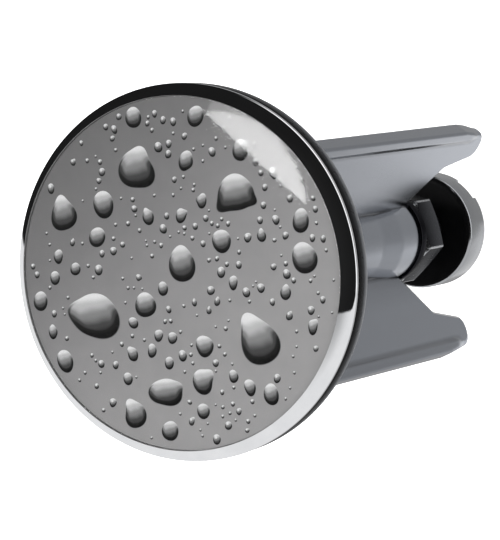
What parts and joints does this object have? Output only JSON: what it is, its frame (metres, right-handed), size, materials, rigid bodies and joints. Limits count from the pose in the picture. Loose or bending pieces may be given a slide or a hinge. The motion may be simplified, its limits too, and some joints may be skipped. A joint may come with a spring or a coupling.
{
  "type": "drain stopper",
  "caption": "Basin drain stopper: round cap with a printed disc under a clear dome, rubber seal, winged guide stem and a height screw with lock nut and slotted foot.",
  "frame": {"origin": "on the axis, in the plane of the seal's underside, where the stopper sits on the drain", "axes": "+Z along the axis towards the cap, +X along one guide wing"},
  "size_m": [0.04, 0.04, 0.0679],
  "materials": {
    "cap_chrome": "mirror chrome plating",
    "print_foil": "grey print of water drops on foil",
    "clear_resin": "clear doming resin, high gloss",
    "seal_rubber": "smooth black rubber",
    "satin_plastic": "satin chrome plating on a moulding",
    "screw_steel": "bright zinc",
    "insert_brass": "turned",
    "washer_steel": "black oxide",
    "nut_steel": "black oxide, rubbed bright on the chamfers",
    "stud_steel": "rolled thread, dark zinc",
    "foot_plastic": "satin chrome plating on a moulding, the upper face bare black"
  },
  "bodies": {
    "stopper": {"cap_shell": "cap_chrome", "decor_disc": "print_foil", "clear_dome": "clear_resin", "seal_ring": "seal_rubber", "guide_body": "satin_plastic", "cap_screw": "screw_steel", "thread_insert": "insert_brass"},
    "stud": {"screw_stud": "stud_steel"},
    "foot": {"screw_foot": "foot_plastic"},
    "washer": {"lock_washer": "washer_steel"},
    "nut": {"lock_nut": "nut_steel"}
  },
  "joints": [
    {"name": "screw_feed", "type": "slide", "parent": "stopper", "child": "stud", "axis": [0, 0, 1], "range_m": [-0.006, 0.0025]},
    {"name": "screw_turn", "type": "hinge", "parent": "stud", "child": "foot", "pos_m": [0, 0, -0.06], "axis": [0, 0, 1], "range_deg": [-2160, 900]},
    {"name": "nut_feed", "type": "slide", "parent": "stopper", "child": "washer", "axis": [0, 0, 1], "range_m": [-0.002, 0]},
    {"name": "nut_turn", "type": "hinge", "parent": "washer", "child": "nut", "pos_m": [0, 0, -0.05], "axis": [0, 0, 1], "range_deg": [-720, 0]}
  ],
  "couplings": [
    {"joint": "screw_turn", "follows": "screw_feed", "rad_per_m": 6283.2},
    {"joint": "nut_turn", "follows": "nut_feed", "rad_per_m": 6283.2}
  ]
}
